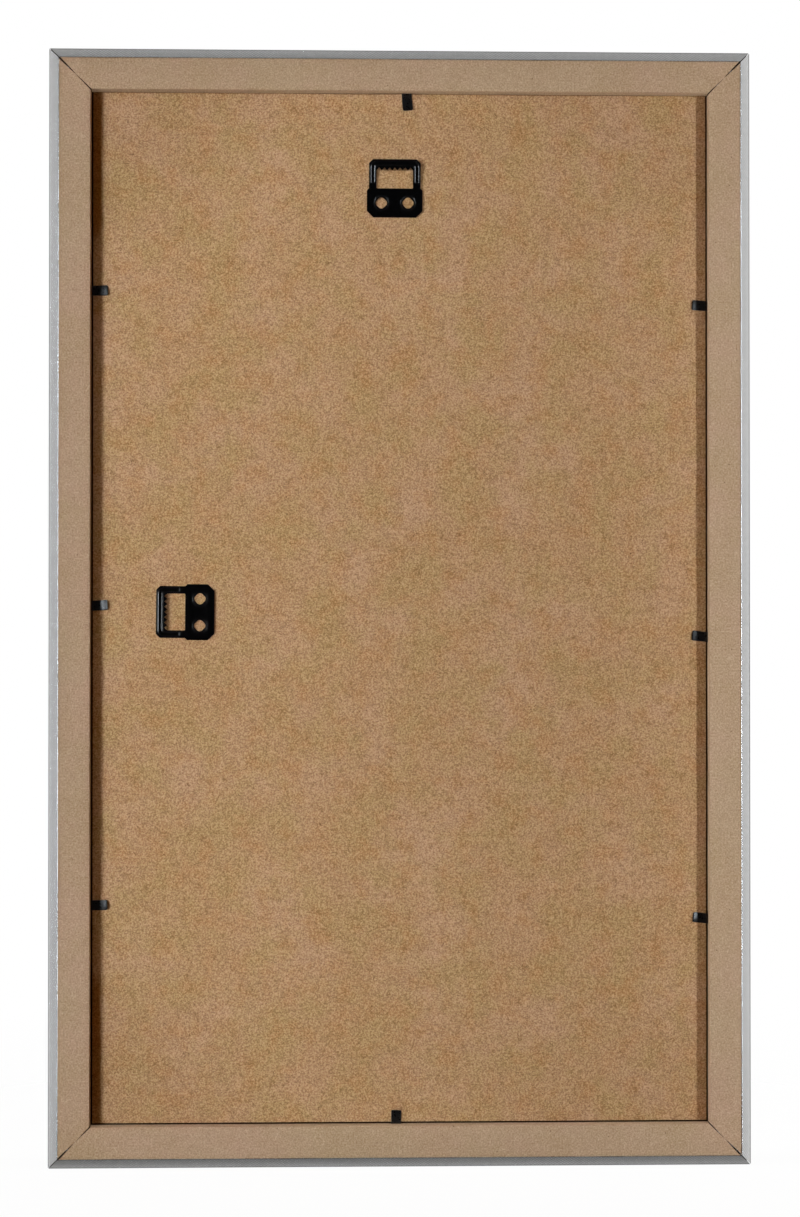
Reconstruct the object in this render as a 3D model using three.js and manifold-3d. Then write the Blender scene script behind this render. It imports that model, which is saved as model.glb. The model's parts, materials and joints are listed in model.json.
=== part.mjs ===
// Picture frame for a 30 x 50 cm picture: mitred, foil-wrapped fibreboard rails that hold glass, a picture
// sheet and a backboard, with bendable steel tabs and two stamped sawtooth hangers.
// Millimetres. Pieces are drawn as seen from behind: x to the right, y up, z out of the back.
// The back face of the rails is z = 0, and left and right are those of this rear view.

import * as THREE from 'three';
import { mergeVertices } from 'three/addons/utils/BufferGeometryUtils.js';
import Module from 'manifold-3d';

const wasm = await Module();
wasm.setup();

// Rails and their foil
const openingWidth = 301.6;     // between the rebate walls of the left and right rails
const openingHeight = 503.4;    // between the rebate walls of the top and bottom rails
const railWidth = 20.3;         // rebate wall to outer face
const railDepth = 18;           // back face to front face
const lipWidth = 5;             // how far the front lip reaches in past the rebate wall
const lipDepth = 4;             // lip's seat to front face
const backBevelWidth = 3.5;     // bevel along the outer back edge, across the back
const backBevelDepth = 3.5;     // the same bevel, along the side
const backArris = 2.5;          // rounding where the bevel meets the back
const sideArris = 0.8;          // rounding where the bevel meets the side
const frontArris = 2;           // rounding of the outer front edge
const sightArris = 1.2;         // rounding of the front edge next to the picture
const foilThickness = 0.25;
const foilLap = 0.1;            // foil that lies on the flat of the back, let in flush
const glueLine = 0.1;           // between foil and fibreboard
const mitreGap = 0.2;           // between two rails at a corner

// Glass, picture sheet and backboard
const sidePlay = 0.8;           // between each of them and the left and right rebate walls
const topPlay = 0.1;            // they have slid up towards the top rail
const bottomPlay = 0.75;
const seatGap = 0.05;           // between flat faces that lie on each other
const glassThickness = 2;
const pictureThickness = 0.4;
const boardThickness = 3;

// Bendable tabs, driven into the rebate walls
const tabWidth = 4.85;          // at the wall
const tabTipWidth = 4.95;
const tabTipRadius = 0.9;
const tabThickness = 0.5;
const tabLevelReach = 3.4;      // wall to where the tip starts to rise
const tabAboveBoard = 0.3;
const tabStub = 0.5;            // driven half that still shows at the wall
const tabShankDepth = 7.4;      // driven depth
const tabShankPoint = 2;        // length of its pointed end
const tabShankPointWidth = 1.5;
const bendGap = 0.3;            // gap at the line where a sheet piece bends
const slotClearance = 0.2;      // between a driven tab and its slot

// Where each tab sits along its side, how far it is skewed, how far it reaches out of the wall and how far its
// tip is bent up
const tabs = [
  { name: 'left_upper_tab', side: 'left', at: 154.4, skew: 2, reach: 8.2, lift: 12 },
  { name: 'left_middle_tab', side: 'left', at: 0.7, skew: 4, reach: 8.3, lift: 20 },
  { name: 'left_lower_tab', side: 'left', at: -145, skew: 1, reach: 8.2, lift: 13 },
  { name: 'right_upper_tab', side: 'right', at: 148.1, skew: -4, reach: 7.6, lift: 12 },
  { name: 'right_middle_tab', side: 'right', at: -14.5, skew: -7, reach: 7.8, lift: 15 },
  { name: 'right_lower_tab', side: 'right', at: -152.4, skew: -6.5, reach: 7.6, lift: 20 },
  { name: 'top_tab', side: 'top', at: 3, skew: 5, reach: 8.3, lift: 10 },
  { name: 'bottom_tab', side: 'bottom', at: -2.2, skew: -1.5, reach: 6.5, lift: 10 },
];

// Sawtooth hangers, pressed from one sheet each
const hangerThickness = 1;
const topHangerInset = 32.4;    // rebate wall to the outer edge of the loop
const sideHangerInset = 31.6;
const topHangerAside = -2.8;    // from the middle of the frame to the middle of the hanger
const sideHangerAside = -2.3;
const topHangerSkew = -0.2;     // degrees
const sideHangerSkew = -0.5;
const plateWidth = 27.3;
const plateHeight = 14.25;
const plateChamfer = 3.2;
const loopWidth = 25.3;
const loopHeight = 14.15;       // plate to outer edge of the loop
const loopChamfer = 1.9;
const armWidth = 3.5;
const barWidth = 3.5;           // outer edge of the loop to the roots of its teeth
const toothDepth = 1.6;
const notchCount = 7;
const neckStub = 0.6;           // plate to the line where the loop bends
const loopTilt = 7;             // degrees that the loop stands off the board
const beadWidth = 2;            // stiffening bead, pressed out along the middle of the arms
const beadTopWidth = 1;
const beadHeight = 0.6;
const beadBend = 1;             // inner radius of the bead's corners
const beadNeck = 2.4;           // flat neck between the plate and the bead

// Prongs: each hole is pierced, and its four petals are pressed into the board
const prongSpacing = 13.1;
const prongHoleSize = 4.4;      // side of the square hole, which stands on its corner
const prongHoleRadius = 1.6;    // length of side that each rounded corner takes up
const prongDishDiameter = 7.4;
const prongDishDepth = 0.3;
const petalThickness = 0.6;
const boardUnderPetals = 0.8;   // board left between the petals' points and the picture
const petalRootWidth = 2.2;
const petalTipWidth = 0.6;
const grooveClearance = 0.3;

// Corner fasteners, driven across each mitre and sunk below the back face
const vnailLeg = 4;
const vnailThickness = 0.7;
const vnailLength = 9;
const vnailSunk = 2;
const vnailFromOuter = 9;       // outer face to the ridge of the outer nail
const vnailFromRebate = 4.8;    // rebate wall to the ridge of the inner nail
const vnailClearance = 0.3;

const arcSteps = 4;             // straight steps in each rounded corner
const dishSteps = 24;
const leastArris = 0.05;        // smallest rounding that an inner layer keeps
const cutPast = 1;              // how far a cut runs past the face that it opens
const mergeWithin = 1e-4;

// Sizes that follow from those above
const outerWidth = openingWidth + 2 * railWidth;
const outerHeight = openingHeight + 2 * railWidth;
const bevelTurn = Math.atan2(backBevelDepth, backBevelWidth);
const foilEdge = backBevelWidth + backArris * Math.tan(bevelTurn / 2) + foilLap;
const seatLevel = lipDepth - railDepth;
const glassLevel = seatLevel + seatGap;
const pictureLevel = glassLevel + glassThickness + seatGap;
const boardLevel = pictureLevel + pictureThickness + seatGap;
const boardBack = boardLevel + boardThickness;
const bendLine = neckStub + bendGap / 2;
const petalDepth = boardThickness - boardUnderPetals;
const vnailPlaces = { outer: vnailFromOuter, inner: railWidth - vnailFromRebate };
const rad = THREE.MathUtils.degToRad;

const fibreboard = new THREE.MeshStandardMaterial({ color: 0xa68b71, roughness: 0.85, metalness: 0 });
const hardboard = new THREE.MeshStandardMaterial({ color: 0xa5805c, roughness: 0.8, metalness: 0 });
const silverFoil = new THREE.MeshStandardMaterial({ color: 0xa9aaac, roughness: 0.4, metalness: 0.8 });
const clearGlass = new THREE.MeshStandardMaterial({ color: 0xdde7e4, roughness: 0.05, metalness: 0 });
const whiteCard = new THREE.MeshStandardMaterial({ color: 0xf1f0eb, roughness: 0.9, metalness: 0 });
const blackSteel = new THREE.MeshStandardMaterial({ color: 0x141518, roughness: 0.35, metalness: 0.6 });
const brightSteel = new THREE.MeshStandardMaterial({ color: 0x8f9296, roughness: 0.35, metalness: 1 });

// Solids: three.js geometry to and from closed bodies that can be joined and cut

function toSolid(geometry) {
  const bare = geometry.clone();
  bare.deleteAttribute('normal');
  bare.deleteAttribute('uv');
  const merged = mergeVertices(bare, mergeWithin);
  const vertProperties = new Float32Array(merged.attributes.position.array);
  const triVerts = new Uint32Array(merged.index.array);
  return new wasm.Manifold(new wasm.Mesh({ numProp: 3, vertProperties, triVerts }));
}

function toGeometry(solid) {
  const mesh = solid.getMesh();
  const geometry = new THREE.BufferGeometry();
  geometry.setAttribute('position', new THREE.BufferAttribute(mesh.vertProperties, 3));
  geometry.setIndex(new THREE.BufferAttribute(mesh.triVerts, 1));
  const faceted = geometry.toNonIndexed();
  faceted.computeVertexNormals();
  return faceted;
}

function cut(geometry, cutters) {
  return toGeometry(cutters.reduce((solid, cutter) => solid.subtract(toSolid(cutter)), toSolid(geometry)));
}

function join(geometry, additions) {
  return toGeometry(additions.reduce((solid, added) => solid.add(toSolid(added)), toSolid(geometry)));
}

function named(name, geometry, material) {
  const mesh = new THREE.Mesh(geometry, material);
  mesh.name = name;
  return mesh;
}

function polygon(points) {
  return new THREE.Shape(points.map(([x, y]) => new THREE.Vector2(x, y)));
}

// A flat outline raised from one level to another
function slab(shape, from, to) {
  const options = { depth: to - from, bevelEnabled: false, curveSegments: arcSteps };
  return new THREE.ExtrudeGeometry(shape, options).translate(0, 0, from);
}

function box(xFrom, xTo, yFrom, yTo, zFrom, zTo) {
  const block = new THREE.BoxGeometry(xTo - xFrom, yTo - yFrom, zTo - zFrom);
  return block.translate((xFrom + xTo) / 2, (yFrom + yTo) / 2, (zFrom + zTo) / 2);
}

// The four sides: each is drawn as the left one and turned about z
const sides = {
  left: { turn: 0, reach: openingWidth / 2, half: outerHeight / 2, sense: 1 },
  bottom: { turn: 90, reach: openingHeight / 2, half: outerWidth / 2, sense: -1 },
  right: { turn: 180, reach: openingWidth / 2, half: outerHeight / 2, sense: -1 },
  top: { turn: -90, reach: openingHeight / 2, half: outerWidth / 2, sense: 1 },
};

// Moulding section: u runs in from the outer face, v forward from the back face

// Replaces each inner corner of a path by an arc of its radius
function roundedPath(corners, radii) {
  const points = [corners[0]];
  for (let i = 1; i < corners.length - 1; i += 1) {
    const corner = new THREE.Vector2(...corners[i]);
    const before = new THREE.Vector2(...corners[i - 1]).sub(corner).normalize();
    const after = new THREE.Vector2(...corners[i + 1]).sub(corner).normalize();
    const halfAngle = Math.acos(before.dot(after)) / 2;
    const radius = Math.max(radii[i - 1], leastArris);
    const middle = before.clone().add(after).normalize();
    const centre = corner.clone().addScaledVector(middle, radius / Math.sin(halfAngle));
    const start = corner.clone().addScaledVector(before, radius / Math.tan(halfAngle));
    const end = corner.clone().addScaledVector(after, radius / Math.tan(halfAngle));
    const from = start.sub(centre);
    const to = end.sub(centre);
    const sweep = Math.sign(from.cross(to)) * (Math.PI - 2 * halfAngle);
    for (let step = 0; step <= arcSteps; step += 1) {
      const angle = from.angle() + sweep * step / arcSteps;
      points.push([centre.x + radius * Math.cos(angle), centre.y + radius * Math.sin(angle)]);
    }
  }
  points.push(corners[corners.length - 1]);
  return points;
}

// The foil's path, set in by a depth: from its edge on the back, round the outside, to the lip's seat
function wrappedPath(edge, inset) {
  const bevelLength = Math.hypot(backBevelWidth, backBevelDepth);
  const sightEdge = railWidth + lipWidth - inset;
  const corners = [
    [edge, inset],
    [backBevelWidth + inset * (bevelLength - backBevelWidth) / backBevelDepth, inset],
    [inset, backBevelDepth + inset * (bevelLength - backBevelDepth) / backBevelWidth],
    [inset, railDepth - inset],
    [sightEdge, railDepth - inset],
    [sightEdge, -seatLevel],
  ];
  return roundedPath(corners, [backArris, sideArris, frontArris, sightArris].map((radius) => radius - inset));
}

// A section run along one side, with both ends mitred
function mitredLength(section, side) {
  const length = slab(polygon(section), -1, 1);
  const position = length.attributes.position;
  const halfLength = side.half - mitreGap / Math.SQRT2;
  for (let i = 0; i < position.count; i += 1) {
    const reach = halfLength - position.getX(i);
    position.setZ(i, Math.sign(position.getZ(i)) * reach);
  }
  length.rotateX(-Math.PI / 2);
  length.translate(-side.reach - railWidth, 0, 0);
  return length.rotateZ(rad(side.turn));
}

function railSection() {
  const edge = foilEdge + glueLine;
  return [...wrappedPath(edge, foilThickness + glueLine), [railWidth, -seatLevel], [railWidth, 0], [edge, 0]];
}

function foilSection() {
  return [...wrappedPath(foilEdge, 0), ...wrappedPath(foilEdge, foilThickness).reverse()];
}

// Tabs: x runs out of the rebate wall, y along it, z out of the back from the tab's underside

function tabPlace(tab) {
  const side = sides[tab.side];
  const frame = new THREE.Group();
  frame.position.set(-side.reach, tab.at * side.sense, boardBack + tabAboveBoard);
  frame.position.applyAxisAngle(new THREE.Vector3(0, 0, 1), rad(side.turn));
  frame.rotation.z = rad(side.turn + tab.skew);
  frame.updateMatrix();
  return frame;
}

// The blade's side view: level at the wall, then bent up along an arc
function bladeProfile({ reach, lift }) {
  const from = tabStub + bendGap;
  const radius = (reach - tabLevelReach) / rad(lift);
  const lower = [[from, 0]];
  const upper = [[from, tabThickness]];
  for (let step = 0; step <= arcSteps; step += 1) {
    const angle = rad(lift) * step / arcSteps;
    lower.push([tabLevelReach + radius * Math.sin(angle), radius * (1 - Math.cos(angle))]);
    const inner = radius - tabThickness;
    upper.push([tabLevelReach + inner * Math.sin(angle), radius - inner * Math.cos(angle)]);
  }
  return polygon([...lower, ...upper.reverse()]);
}

function bladeOutline(tip) {
  const half = tabTipWidth / 2;
  const outline = new THREE.Shape();
  outline.moveTo(0, -tabWidth / 2);
  outline.lineTo(tip - tabTipRadius, -half);
  outline.quadraticCurveTo(tip, -half, tip, -half + tabTipRadius);
  outline.lineTo(tip, half - tabTipRadius);
  outline.quadraticCurveTo(tip, half, tip - tabTipRadius, half);
  outline.lineTo(0, tabWidth / 2);
  return outline;
}

function bladeGeometry(tab) {
  const strip = slab(bladeProfile(tab), -tabWidth, tabWidth).rotateX(Math.PI / 2);
  const plan = slab(bladeOutline(tab.reach), -tab.reach, tab.reach);
  return toGeometry(toSolid(strip).intersect(toSolid(plan)));
}

function shankGeometry() {
  const outline = polygon([
    [tabStub, -tabWidth / 2],
    [tabStub, tabWidth / 2],
    [tabShankPoint - tabShankDepth, tabWidth / 2],
    [-tabShankDepth, tabShankPointWidth / 2],
    [-tabShankDepth, -tabShankPointWidth / 2],
    [tabShankPoint - tabShankDepth, -tabWidth / 2],
  ]);
  return slab(outline, 0, tabThickness);
}

function slotCutter(tab) {
  const deep = tabShankDepth + slotClearance;
  const half = tabWidth / 2 + slotClearance;
  const slot = box(-deep, cutPast, -half, half, -slotClearance, tabThickness + slotClearance);
  return slot.applyMatrix4(tabPlace(tab).matrix);
}

function tabGroup(tab) {
  const group = tabPlace(tab);
  group.add(named(`${tab.name}_shank`, shankGeometry(), blackSteel));
  group.add(named(`${tab.name}_blade`, bladeGeometry(tab), blackSteel));
  return group;
}

// Corner fasteners: an angle whose ridge lies on the mitre and whose legs run into the two rails
const corners = [
  { name: 'bottom_left', x: -1, y: -1, turn: 0 },
  { name: 'bottom_right', x: 1, y: -1, turn: 90 },
  { name: 'top_right', x: 1, y: 1, turn: 180 },
  { name: 'top_left', x: -1, y: 1, turn: -90 },
];

function vnailGeometry(clearance) {
  const half = vnailThickness / 2 + clearance;
  const end = vnailLeg + clearance;
  const legs = [[-half, -half], [end, -half], [end, half], [half, half], [half, end], [-half, end]];
  return slab(polygon(legs), -vnailSunk - vnailLength - clearance, -vnailSunk + clearance);
}

function vnailPlace(corner, inset) {
  const frame = new THREE.Group();
  frame.position.set(corner.x * (outerWidth / 2 - inset), corner.y * (outerHeight / 2 - inset), 0);
  frame.rotation.z = rad(corner.turn);
  frame.updateMatrix();
  return frame;
}

function vnailPockets() {
  return corners.flatMap((corner) => Object.values(vnailPlaces).map((inset) => {
    const pocket = vnailGeometry(vnailClearance);
    return pocket.applyMatrix4(vnailPlace(corner, inset).matrix);
  }));
}

function vnailGroups() {
  return corners.flatMap((corner) => Object.entries(vnailPlaces).map(([place, inset]) => {
    const group = vnailPlace(corner, inset);
    group.add(named(`${corner.name}_${place}_vnail`, vnailGeometry(0), brightSteel));
    return group;
  }));
}

// Hangers: x across, y towards the loop from the plate's upper edge, z off the board

// The pierced hole: a square on its corner, with rounded corners, grown by a margin
function prongHole(margin, radius) {
  const half = prongHoleSize / 2 + margin;
  const tip = half * Math.SQRT2;
  const back = radius * Math.SQRT1_2;
  const side = tip - back;
  const hole = new THREE.Shape();
  hole.moveTo(side, -back);
  hole.quadraticCurveTo(tip, 0, side, back);
  hole.lineTo(back, side);
  hole.quadraticCurveTo(0, tip, -back, side);
  hole.lineTo(-side, back);
  hole.quadraticCurveTo(-tip, 0, -side, -back);
  hole.lineTo(-back, -side);
  hole.quadraticCurveTo(0, -tip, back, -side);
  return hole;
}

function prongCentres() {
  return [-prongSpacing / 2, prongSpacing / 2].map((x) => [x, -plateHeight / 2]);
}

function petals([x, y]) {
  const outline = polygon([
    [-petalRootWidth / 2, hangerThickness / 2],
    [-petalRootWidth / 2, 0],
    [-petalTipWidth / 2, -petalDepth],
    [petalTipWidth / 2, -petalDepth],
    [petalRootWidth / 2, 0],
    [petalRootWidth / 2, hangerThickness / 2],
  ]);
  return [45, 135, 225, 315].map((angle) => {
    const petal = slab(outline, 0, petalThickness).rotateX(Math.PI / 2);
    petal.translate(0, -prongHoleSize / 2, 0);
    return petal.rotateZ(rad(angle)).translate(x, y, 0);
  });
}

function dish([x, y]) {
  const rim = prongDishDiameter / 2;
  const low = hangerThickness - prongDishDepth;
  const high = hangerThickness + cutPast;
  const profile = [[0, low], [prongHoleSize / 2, low], [rim, hangerThickness], [rim, high], [0, high]];
  const points = profile.map(([r, z]) => new THREE.Vector2(r, z));
  return new THREE.LatheGeometry(points, dishSteps).rotateX(Math.PI / 2).translate(x, y, 0);
}

function plateGeometry() {
  const right = plateWidth / 2;
  const arm = loopWidth / 2;
  const shoulder = right - arm;
  const half = [
    [right - plateChamfer, -plateHeight],
    [right, plateChamfer - plateHeight],
    [right, -shoulder],
    [arm, 0],
    [arm, neckStub],
    [arm - armWidth, neckStub],
    [arm - armWidth, 0],
  ];
  const mirrored = half.map(([x, y]) => [-x, y]).reverse();
  const blank = slab(polygon([...half, ...mirrored]), 0, hangerThickness);
  const holes = prongCentres().map(([x, y]) => {
    const hole = slab(prongHole(0, prongHoleRadius), -cutPast, hangerThickness + cutPast);
    return hole.translate(x, y, 0);
  });
  const pierced = cut(blank, [...holes, ...prongCentres().map(dish)]);
  return join(pierced, prongCentres().flatMap(petals));
}

// The bead's path is an arch along both arms and the bar, drawn as a band of a given half width
function beadOutline(halfWidth) {
  const radius = beadBend + beadWidth / 2;
  const side = loopWidth / 2 - armWidth / 2;
  const foot = beadNeck - bendLine + beadWidth / 2;
  const crown = loopHeight - bendLine - armWidth / 2;
  const corner = side - radius;
  const spring = crown - radius;
  const outer = radius + halfWidth;
  const inner = radius - halfWidth;
  const band = new THREE.Shape();
  band.moveTo(side + halfWidth, foot);
  band.absarc(corner, spring, outer, 0, Math.PI / 2, false);
  band.absarc(-corner, spring, outer, Math.PI / 2, Math.PI, false);
  band.absarc(-side, foot, halfWidth, Math.PI, 2 * Math.PI, false);
  band.absarc(-corner, spring, inner, Math.PI, Math.PI / 2, true);
  band.absarc(corner, spring, inner, Math.PI / 2, 0, true);
  band.absarc(side, foot, halfWidth, Math.PI, 2 * Math.PI, false);
  return band;
}

// The bead stands on the sheet with sloped flanks and is rooted in half of its thickness
function beadGeometry() {
  const flank = (beadWidth - beadTopWidth) / 2;
  const rooted = hangerThickness / 2;
  const options = {
    depth: rooted,
    bevelThickness: beadHeight,
    bevelSize: flank,
    bevelOffset: -flank,
    bevelSegments: 2,
    curveSegments: arcSteps,
  };
  const band = new THREE.ExtrudeGeometry(beadOutline(beadWidth / 2), options).translate(0, 0, -rooted);
  const under = box(-loopWidth, loopWidth, -loopHeight, loopHeight, -loopHeight, -rooted);
  return cut(band, [under]);
}

// The loop, from the bend line in its outer surface: two arms and a bar with teeth along its inner edge
function loopGeometry() {
  const right = loopWidth / 2;
  const inside = right - armWidth;
  const foot = bendGap / 2;
  const crown = loopHeight - bendLine;
  const root = crown - barWidth;
  const pitch = 2 * inside / notchCount;
  const teeth = [];
  for (let notch = 0; notch < notchCount; notch += 1) {
    teeth.push([-inside + notch * pitch, root - toothDepth]);
    teeth.push([-inside + (notch + 0.5) * pitch, root]);
  }
  const outline = polygon([
    [inside, foot],
    [right, foot],
    [right, crown - loopChamfer],
    [right - loopChamfer, crown],
    [loopChamfer - right, crown],
    [-right, crown - loopChamfer],
    [-right, foot],
    [-inside, foot],
    ...teeth,
    [inside, root - toothDepth],
  ]);
  const beaded = join(slab(outline, -hangerThickness, 0), [beadGeometry()]);
  const hollowTop = beadHeight - hangerThickness;
  const hollow = slab(beadOutline(beadTopWidth / 2), -hangerThickness - cutPast, hollowTop);
  return cut(beaded, [hollow]);
}

function hangerPlace(crown, turn, aside, skew) {
  const frame = new THREE.Group();
  frame.position.set(aside, crown - loopHeight, boardBack + seatGap);
  frame.position.applyAxisAngle(new THREE.Vector3(0, 0, 1), rad(turn));
  frame.rotation.z = rad(turn + skew);
  frame.updateMatrix();
  return frame;
}

const topHangerPlace = hangerPlace(openingHeight / 2 - topHangerInset, 0, topHangerAside, topHangerSkew);
const sideHangerPlace = hangerPlace(openingWidth / 2 - sideHangerInset, 90, sideHangerAside, sideHangerSkew);

function hangerGroup(name, place) {
  const bend = new THREE.Group();
  bend.position.set(0, bendLine, hangerThickness);
  bend.rotation.x = rad(loopTilt);
  bend.add(named(`${name}_hanger_loop`, loopGeometry(), blackSteel));
  place.add(named(`${name}_hanger_plate`, plateGeometry(), blackSteel), bend);
  return place;
}

// The groove that a pierced hole's petals cut into the board around a core of board
function prongGrooves(place) {
  return prongCentres().map(([x, y]) => {
    const outer = prongHole(petalThickness + grooveClearance, prongHoleRadius);
    outer.holes.push(prongHole(-grooveClearance, grooveClearance));
    const groove = slab(outer, -petalDepth - grooveClearance, cutPast);
    return groove.translate(x, y, 0).applyMatrix4(place.matrix);
  });
}

function flatSheet(level, thickness) {
  const x = openingWidth / 2 - sidePlay;
  const y = openingHeight / 2;
  return box(-x, x, bottomPlay - y, y - topPlay, level, level + thickness);
}

function boardGeometry() {
  const grooves = [...prongGrooves(topHangerPlace), ...prongGrooves(sideHangerPlace)];
  return cut(flatSheet(boardLevel, boardThickness), grooves);
}

// The whole frame, drawn from behind
const frame = new THREE.Group();
const pockets = vnailPockets();
for (const [name, side] of Object.entries(sides)) {
  const slots = tabs.filter((tab) => tab.side === name).map(slotCutter);
  const rail = cut(mitredLength(railSection(), side), [...slots, ...pockets]);
  frame.add(named(`${name}_rail`, rail, fibreboard));
  frame.add(named(`${name}_foil`, mitredLength(foilSection(), side), silverFoil));
}
frame.add(named('glass_pane', flatSheet(glassLevel, glassThickness), clearGlass));
frame.add(named('picture_sheet', flatSheet(pictureLevel, pictureThickness), whiteCard));
frame.add(named('backboard', boardGeometry(), hardboard));
frame.add(...tabs.map(tabGroup), ...vnailGroups());
frame.add(hangerGroup('top', topHangerPlace), hangerGroup('side', sideHangerPlace));

// Hung upright: the back faces +Y, and the origin is the middle notch of the top hanger, where the nail sits
const picture = new THREE.Group();
const upright = new THREE.Group();
upright.rotation.set(Math.PI / 2, Math.PI, 0);
upright.add(frame);
const notch = new THREE.Vector3(0, loopHeight - bendLine - barWidth, -hangerThickness);
notch.applyAxisAngle(new THREE.Vector3(1, 0, 0), rad(loopTilt));
notch.add(new THREE.Vector3(0, bendLine, hangerThickness)).applyMatrix4(topHangerPlace.matrix);
frame.position.copy(notch).negate();
picture.add(upright);

export default picture;
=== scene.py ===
"""Picture frame seen from behind: raw fibreboard rails wrapped in silver foil, a brown fibreboard back held
in by bent steel tabs, and two stamped sawtooth hangers. Metres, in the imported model's frame: y points out of
the back, z up, and +x is the left side as seen from behind."""

import json
import math

import bmesh
import bpy
from mathutils import Matrix, Vector

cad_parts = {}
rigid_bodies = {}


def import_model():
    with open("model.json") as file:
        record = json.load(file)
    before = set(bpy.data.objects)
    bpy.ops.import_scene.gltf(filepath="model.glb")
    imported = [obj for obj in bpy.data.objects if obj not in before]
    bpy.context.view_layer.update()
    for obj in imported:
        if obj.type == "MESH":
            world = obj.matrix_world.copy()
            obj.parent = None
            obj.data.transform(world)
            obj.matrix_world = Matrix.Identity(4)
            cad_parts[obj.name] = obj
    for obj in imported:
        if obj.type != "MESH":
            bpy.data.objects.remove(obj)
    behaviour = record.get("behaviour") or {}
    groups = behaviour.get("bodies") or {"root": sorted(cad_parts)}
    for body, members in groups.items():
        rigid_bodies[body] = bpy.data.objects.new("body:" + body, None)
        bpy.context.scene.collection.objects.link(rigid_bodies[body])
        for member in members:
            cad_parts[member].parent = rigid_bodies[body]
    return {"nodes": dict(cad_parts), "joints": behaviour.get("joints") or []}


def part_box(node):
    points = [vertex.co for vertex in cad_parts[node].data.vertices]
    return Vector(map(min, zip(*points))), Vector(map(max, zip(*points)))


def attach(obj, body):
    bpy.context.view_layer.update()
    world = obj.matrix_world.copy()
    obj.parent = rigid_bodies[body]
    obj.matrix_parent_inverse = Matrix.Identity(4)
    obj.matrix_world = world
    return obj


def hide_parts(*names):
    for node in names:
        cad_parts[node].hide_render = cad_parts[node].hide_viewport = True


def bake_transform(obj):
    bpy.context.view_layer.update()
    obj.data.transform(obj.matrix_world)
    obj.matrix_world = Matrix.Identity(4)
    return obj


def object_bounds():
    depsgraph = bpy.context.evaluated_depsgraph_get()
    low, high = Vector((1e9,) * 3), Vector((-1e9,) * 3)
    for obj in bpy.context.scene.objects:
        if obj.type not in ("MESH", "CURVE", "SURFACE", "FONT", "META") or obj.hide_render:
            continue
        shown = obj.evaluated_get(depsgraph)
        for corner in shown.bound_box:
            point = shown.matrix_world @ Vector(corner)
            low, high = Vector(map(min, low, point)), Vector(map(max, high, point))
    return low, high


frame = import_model()
cad_low, cad_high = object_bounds()
middle = (cad_low + cad_high) / 2
joints = {joint["name"]: joint for joint in frame["joints"]}

MM = 0.001
OUT = Vector((0, 1, 0))

# How close to a plane or to a corner a point has to lie to be picked there
EXACT = 0.001 * MM
CLOSE = 0.02 * MM

# Arrises that turn through more than this stay hard
HARD_ARRIS = math.radians(35)

# Moulding section: inward from the outer side, and forward from the back
RAIL_WIDTH = 20.3 * MM
RAIL_DEPTH = 18 * MM
REBATE_DEPTH = 14 * MM
BOARD_LEVEL = 8.45 * MM
LIP_WIDTH = 5 * MM
BEVEL_RUN = 4.75 * MM
BEVEL_DEPTH = 3 * MM
BEVEL_SLOPE = math.degrees(math.atan2(BEVEL_DEPTH, BEVEL_RUN))
BACK_ARRIS = 0.4 * MM
SIDE_ARRIS = 2 * MM
FRONT_ARRIS = 2 * MM
SIGHT_ARRIS = 1.2 * MM
REBATE_ARRIS = 0.25 * MM
FOIL = 0.25 * MM
GLUE_LINE = 0.1 * MM
FOIL_EDGE = 4.95 * MM
FOIL_EDGE_GAP = 0.35 * MM
FOIL_EDGE_GROOVE = 0.9 * MM
BOARD_EDGE = 0.15 * MM
MITRE_GAP = 0.02 * MM
FOIL_MITRE_GAP = 0.28 * MM

# Tabs: driven into the rebate wall and bent up towards the tip
TAB_WIDTH = 4.85 * MM
TAB_TIP_WIDTH = 4.95 * MM
TAB_THICKNESS = 0.5 * MM
TAB_WALL = -0.65 * MM
TAB_FLAT = 2.75 * MM
LONGEST_TAB = 7.65 * MM
TAB_TIP_RADIUS = 0.9 * MM
TAB_SHANK_DEPTH = 7.4 * MM
TAB_POINT = 2 * MM
TAB_POINT_WIDTH = 1.5 * MM
SHEARED_EDGE = 0.08 * MM

# Slots that the tabs were driven into, and how much wider and thicker the driver crushed their mouths
SLOT_CLEARANCE = 0.2 * MM
SLOT_MOUTH_DEPTH = 0.8 * MM
SLOT_MOUTH = (1, 1.8, 2.8)

# How far each tab's tip lies from its bend, and by how many degrees it is lifted
TABS = {
    "left_upper": (7.55 * MM, 12),
    "left_middle": (7.65 * MM, 22),
    "left_lower": (7.55 * MM, 13),
    "right_upper": (6.95 * MM, 12),
    "right_middle": (7.15 * MM, 10.5),
    "right_lower": (6.95 * MM, 16),
    "top": (7.65 * MM, 10),
    "bottom": (5.85 * MM, 10),
}

# Hanger, from the bend line in its outer surface: x across, y towards the loop
SHEET = 1 * MM
BEND_LINE = 0.75 * MM
PLATE_WIDTH = 27.3 * MM
PLATE_HEIGHT = 14.25 * MM
PLATE_CHAMFER = 3.2 * MM
LOOP_WIDTH = 25.3 * MM
LOOP_HEIGHT = 14.15 * MM
LOOP_CHAMFER = 1.9 * MM
LOOP_TILT = math.radians(7)
SHEET_CORNER = 0.6 * MM
WINDOW_CORNER = 0.5 * MM
STAMPED_EDGE = 0.12 * MM
ARM_WIDTH = 3.7 * MM
BAR_WIDTH = 3.95 * MM
TOOTH_DEPTH = 1.5 * MM
TOOTH_RADIUS = 0.15 * MM
NOTCHES = 7
BEAD_WIDTH = 2.5 * MM
BEAD_BEND = 1 * MM
BEAD_NECK = 2.4 * MM
BEAD_END_RADIUS = 0.38 * BEAD_WIDTH
PRONG_SPACING = 13.1 * MM
PRONG_HOLE = 4.9 * MM
PRONG_HOLE_RADIUS = 1.75 * MM
PRONG_DISH_RADIUS = 3.7 * MM
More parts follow.
